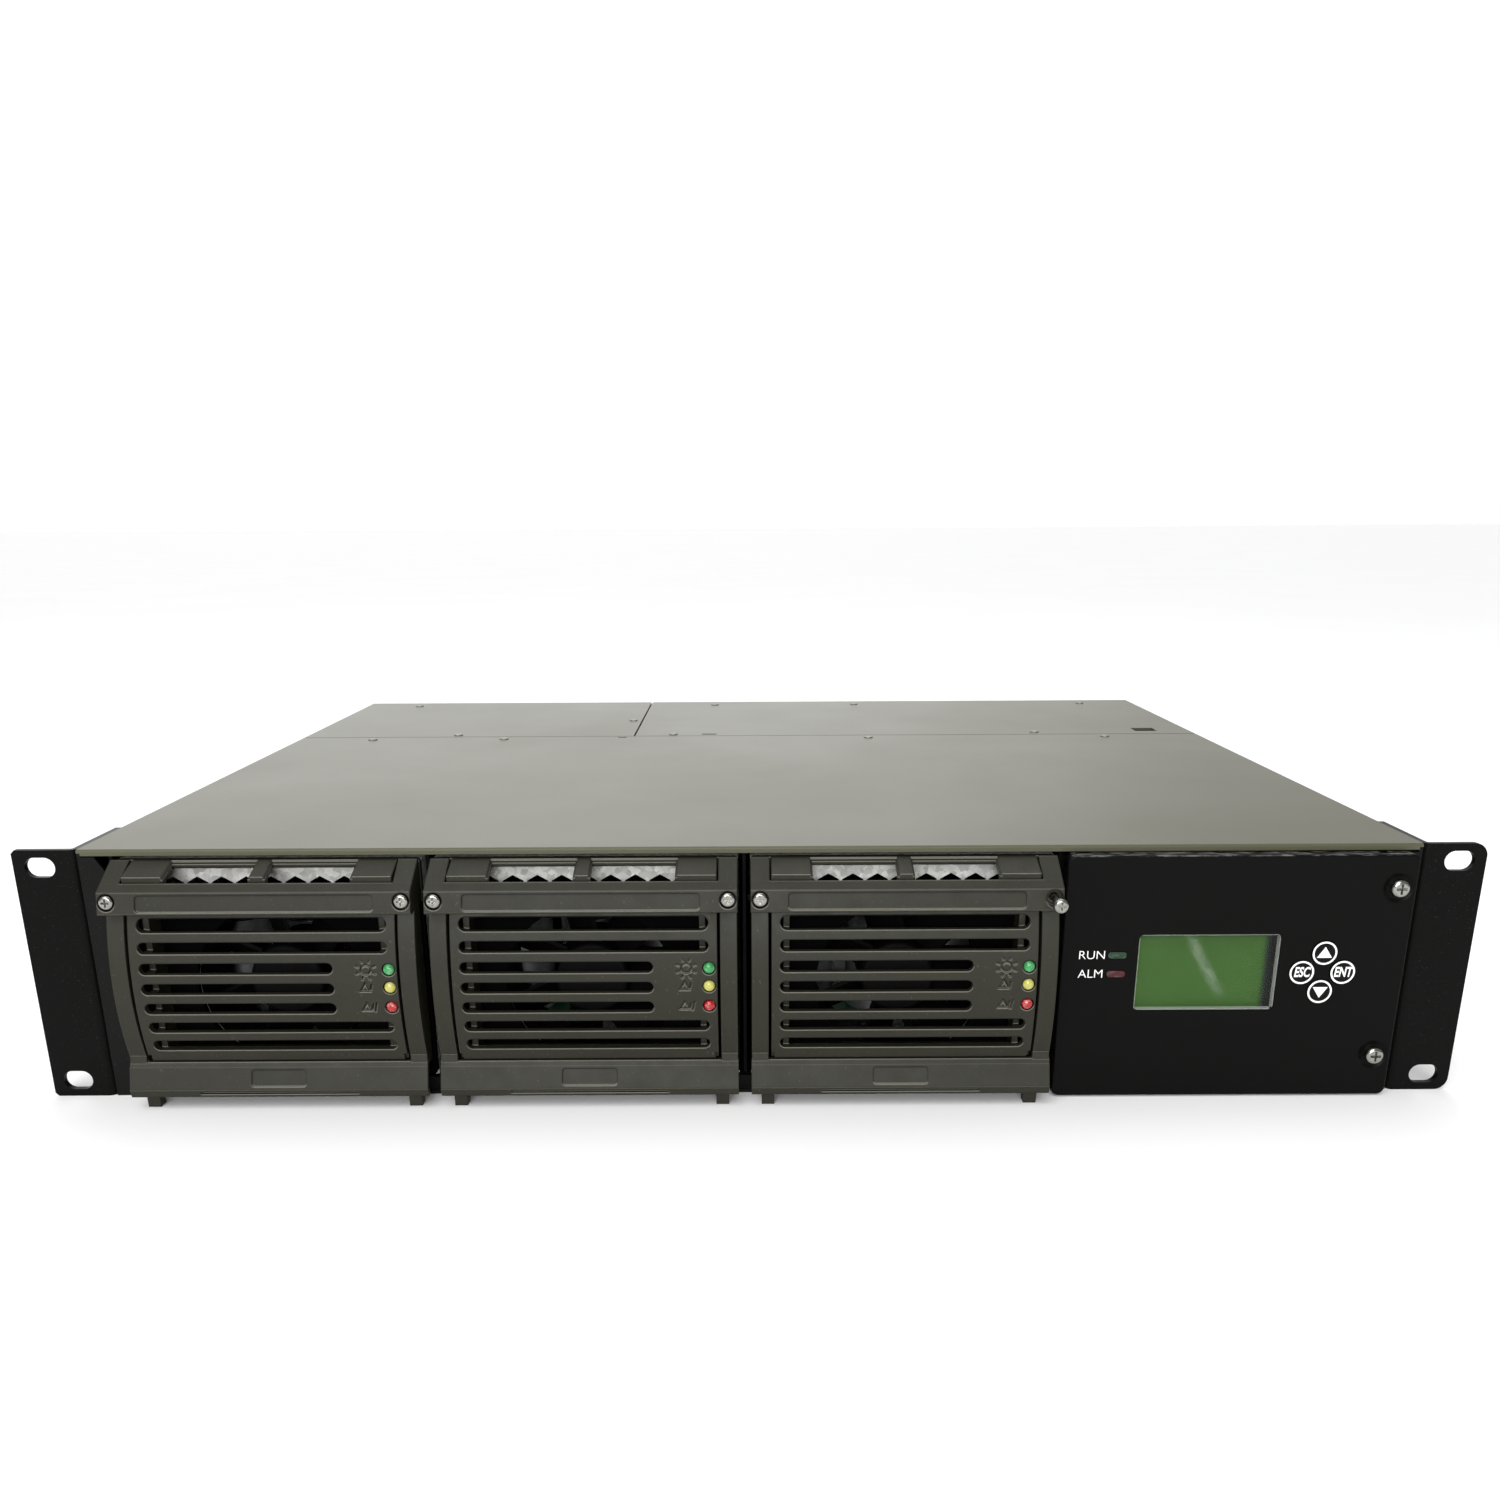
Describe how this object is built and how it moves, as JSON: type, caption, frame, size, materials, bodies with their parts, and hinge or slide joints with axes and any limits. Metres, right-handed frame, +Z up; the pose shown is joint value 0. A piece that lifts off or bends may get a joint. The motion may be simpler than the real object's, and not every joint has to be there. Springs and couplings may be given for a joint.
{
  "type": "rack-mounted rectifier power shelf",
  "caption": "Two-unit rack power shelf with slide-in rectifier modules, ejector handles, and a hinged control door with a display and keys over battery breakers.",
  "frame": {"origin": "centre of the four rack slots, on the rear face of the ears, which seats on the rack", "axes": "+X to the right of a person facing the front, +Y back into the rack, +Z up"},
  "size_m": [0.4826, 0.384, 0.0887],
  "materials": {
    "cover_paint": "satin olive-grey powder coat",
    "black_paint": "satin black powder coat",
    "chassis_paint": "satin black powder coat",
    "galvanised": "spangled zinc coat",
    "dark_plastic": "fine-textured warm dark grey",
    "screw_steel": "bright nickel",
    "pin_steel": "ground steel",
    "lamp": "clear tinted dome",
    "fan_plastic": "moulded black",
    "electronics": "green board with aluminium heatsinks",
    "board": "green solder resist",
    "copper": "tinned copper",
    "insulator": "moulded black",
    "breaker_plastic": "light grey",
    "lever_plastic": "black",
    "clear_pane": "clear acrylic",
    "lcd": "green backlit liquid crystal",
    "key_plastic": "black with white legends",
    "light_pipe": "tinted light pipe"
  },
  "bodies": {
    "chassis": {"chassis_tray": "chassis_paint", "top_cover": "cover_paint", "rear_cover_left": "cover_paint", "rear_cover_right": "cover_paint", "cover_screws": "screw_steel", "rear_panel": "chassis_paint", "rack_ear_left": "black_paint", "rack_ear_right": "black_paint", "ear_screws": "screw_steel", "bay_dividers": "black_paint", "backplane": "board", "busbars": "copper", "terminal_insulator": "insulator", "terminal_hardware": "screw_steel", "ac_terminal_block": "insulator", "battery_breakers": "breaker_plastic", "door_hinge": "black_paint"},
    "module_1": {"rectifier_case_1": "galvanised", "front_grille_1": "dark_plastic", "hinge_pins_1": "pin_steel", "status_leds_1": "lamp", "fan_housing_1": "fan_plastic", "power_board_1": "electronics"},
    "handle_1": {"ejector_handle_1": "dark_plastic"},
    "rotor_1": {"fan_rotor_1": "fan_plastic"},
    "lock_left_1": {"lock_screw_left_1": "screw_steel"},
    "lock_right_1": {"lock_screw_right_1": "screw_steel"},
    "module_2": {"rectifier_case_2": "galvanised", "front_grille_2": "dark_plastic", "hinge_pins_2": "pin_steel", "status_leds_2": "lamp", "fan_housing_2": "fan_plastic", "power_board_2": "electronics"},
    "handle_2": {"ejector_handle_2": "dark_plastic"},
    "rotor_2": {"fan_rotor_2": "fan_plastic"},
    "lock_left_2": {"lock_screw_left_2": "screw_steel"},
    "lock_right_2": {"lock_screw_right_2": "screw_steel"},
    "module_3": {"rectifier_case_3": "galvanised", "front_grille_3": "dark_plastic", "hinge_pins_3": "pin_steel", "status_leds_3": "lamp", "fan_housing_3": "fan_plastic", "power_board_3": "electronics"},
    "handle_3": {"ejector_handle_3": "dark_plastic"},
    "rotor_3": {"fan_rotor_3": "fan_plastic"},
    "lock_left_3": {"lock_screw_left_3": "screw_steel"},
    "lock_right_3": {"lock_screw_right_3": "screw_steel"},
    "door": {"control_door": "black_paint", "display_window": "clear_pane", "display_module": "lcd", "controller_board": "board", "panel_indicators": "light_pipe"},
    "key_up_cap": {"key_up": "key_plastic"},
    "key_down_cap": {"key_down": "key_plastic"},
    "key_escape_cap": {"key_escape": "key_plastic"},
    "key_enter_cap": {"key_enter": "key_plastic"},
    "door_lock_top": {"door_screw_top": "screw_steel"},
    "door_lock_bottom": {"door_screw_bottom": "screw_steel"},
    "breaker_toggle_1": {"breaker_lever_1": "lever_plastic"},
    "breaker_toggle_2": {"breaker_lever_2": "lever_plastic"}
  },
  "joints": [
    {"name": "module_slide_1", "type": "slide", "parent": "chassis", "child": "module_1", "axis": [0, -1, 0], "range_m": [0, 0.215]},
    {"name": "handle_hinge_1", "type": "hinge", "parent": "module_1", "child": "handle_1", "pos_m": [-0.15835, -0.009, -0.03655], "axis": [1, 0, 0], "range_deg": [0, 65]},
    {"name": "fan_spin_1", "type": "hinge", "parent": "module_1", "child": "rotor_1", "pos_m": [-0.15835, 0.0135, -0.00385], "axis": [0, 1, 0], "continuous": true},
    {"name": "lock_left_slide_1", "type": "slide", "parent": "handle_1", "child": "lock_left_1", "axis": [0, -1, 0], "range_m": [0, 0.0085]},
    {"name": "lock_right_slide_1", "type": "slide", "parent": "handle_1", "child": "lock_right_1", "axis": [0, -1, 0], "range_m": [0, 0.0085]},
    {"name": "module_slide_2", "type": "slide", "parent": "chassis", "child": "module_2", "axis": [0, -1, 0], "range_m": [0, 0.215]},
    {"name": "handle_hinge_2", "type": "hinge", "parent": "module_2", "child": "handle_2", "pos_m": [-0.05405, -0.009, -0.03655], "axis": [1, 0, 0], "range_deg": [0, 65]},
    {"name": "fan_spin_2", "type": "hinge", "parent": "module_2", "child": "rotor_2", "pos_m": [-0.05405, 0.0135, -0.00385], "axis": [0, 1, 0], "continuous": true},
    {"name": "lock_left_slide_2", "type": "slide", "parent": "handle_2", "child": "lock_left_2", "axis": [0, -1, 0], "range_m": [0, 0.0085]},
    {"name": "lock_right_slide_2", "type": "slide", "parent": "handle_2", "child": "lock_right_2", "axis": [0, -1, 0], "range_m": [0, 0.0085]},
    {"name": "module_slide_3", "type": "slide", "parent": "chassis", "child": "module_3", "axis": [0, -1, 0], "range_m": [0, 0.215]},
    {"name": "handle_hinge_3", "type": "hinge", "parent": "module_3", "child": "handle_3", "pos_m": [0.05025, -0.009, -0.03655], "axis": [1, 0, 0], "range_deg": [0, 65]},
    {"name": "fan_spin_3", "type": "hinge", "parent": "module_3", "child": "rotor_3", "pos_m": [0.05025, 0.0135, -0.00385], "axis": [0, 1, 0], "continuous": true},
    {"name": "lock_left_slide_3", "type": "slide", "parent": "handle_3", "child": "lock_left_3", "axis": [0, -1, 0], "range_m": [0, 0.0085]},
    {"name": "lock_right_slide_3", "type": "slide", "parent": "handle_3", "child": "lock_right_3", "axis": [0, -1, 0], "range_m": [-0.0085, 0]},
    {"name": "door_hinge_turn", "type": "hinge", "parent": "chassis", "child": "door", "pos_m": [0.1056, -0.0036, 0], "axis": [0, 0, -1], "range_deg": [0, 85]},
    {"name": "key_up_press", "type": "slide", "parent": "door", "child": "key_up_cap", "axis": [0, 1, 0], "range_m": [0, 0.0005], "stiffness_N_per_m": 1500, "springref_m": -0.0003},
    {"name": "key_down_press", "type": "slide", "parent": "door", "child": "key_down_cap", "axis": [0, 1, 0], "range_m": [0, 0.0005], "stiffness_N_per_m": 1500, "springref_m": -0.0003},
    {"name": "key_escape_press", "type": "slide", "parent": "door", "child": "key_escape_cap", "axis": [0, 1, 0], "range_m": [0, 0.0005], "stiffness_N_per_m": 1500, "springref_m": -0.0003},
    {"name": "key_enter_press", "type": "slide", "parent": "door", "child": "key_enter_cap", "axis": [0, 1, 0], "range_m": [0, 0.0005], "stiffness_N_per_m": 1500, "springref_m": -0.0003},
    {"name": "door_screw_top_slide", "type": "slide", "parent": "door", "child": "door_lock_top", "axis": [0, -1, 0], "range_m": [0, 0.006]},
    {"name": "door_screw_bottom_slide", "type": "slide", "parent": "door", "child": "door_lock_bottom", "axis": [0, -1, 0], "range_m": [0, 0.006]},
    {"name": "breaker_toggle_turn_1", "type": "hinge", "parent": "chassis", "child": "breaker_toggle_1", "pos_m": [0.1418, 0.043, 0.00195], "axis": [1, 0, 0], "range_deg": [0, 50]},
    {"name": "breaker_toggle_turn_2", "type": "hinge", "parent": "chassis", "child": "breaker_toggle_2", "pos_m": [0.1798, 0.043, 0.00195], "axis": [1, 0, 0], "range_deg": [0, 50]}
  ]
}
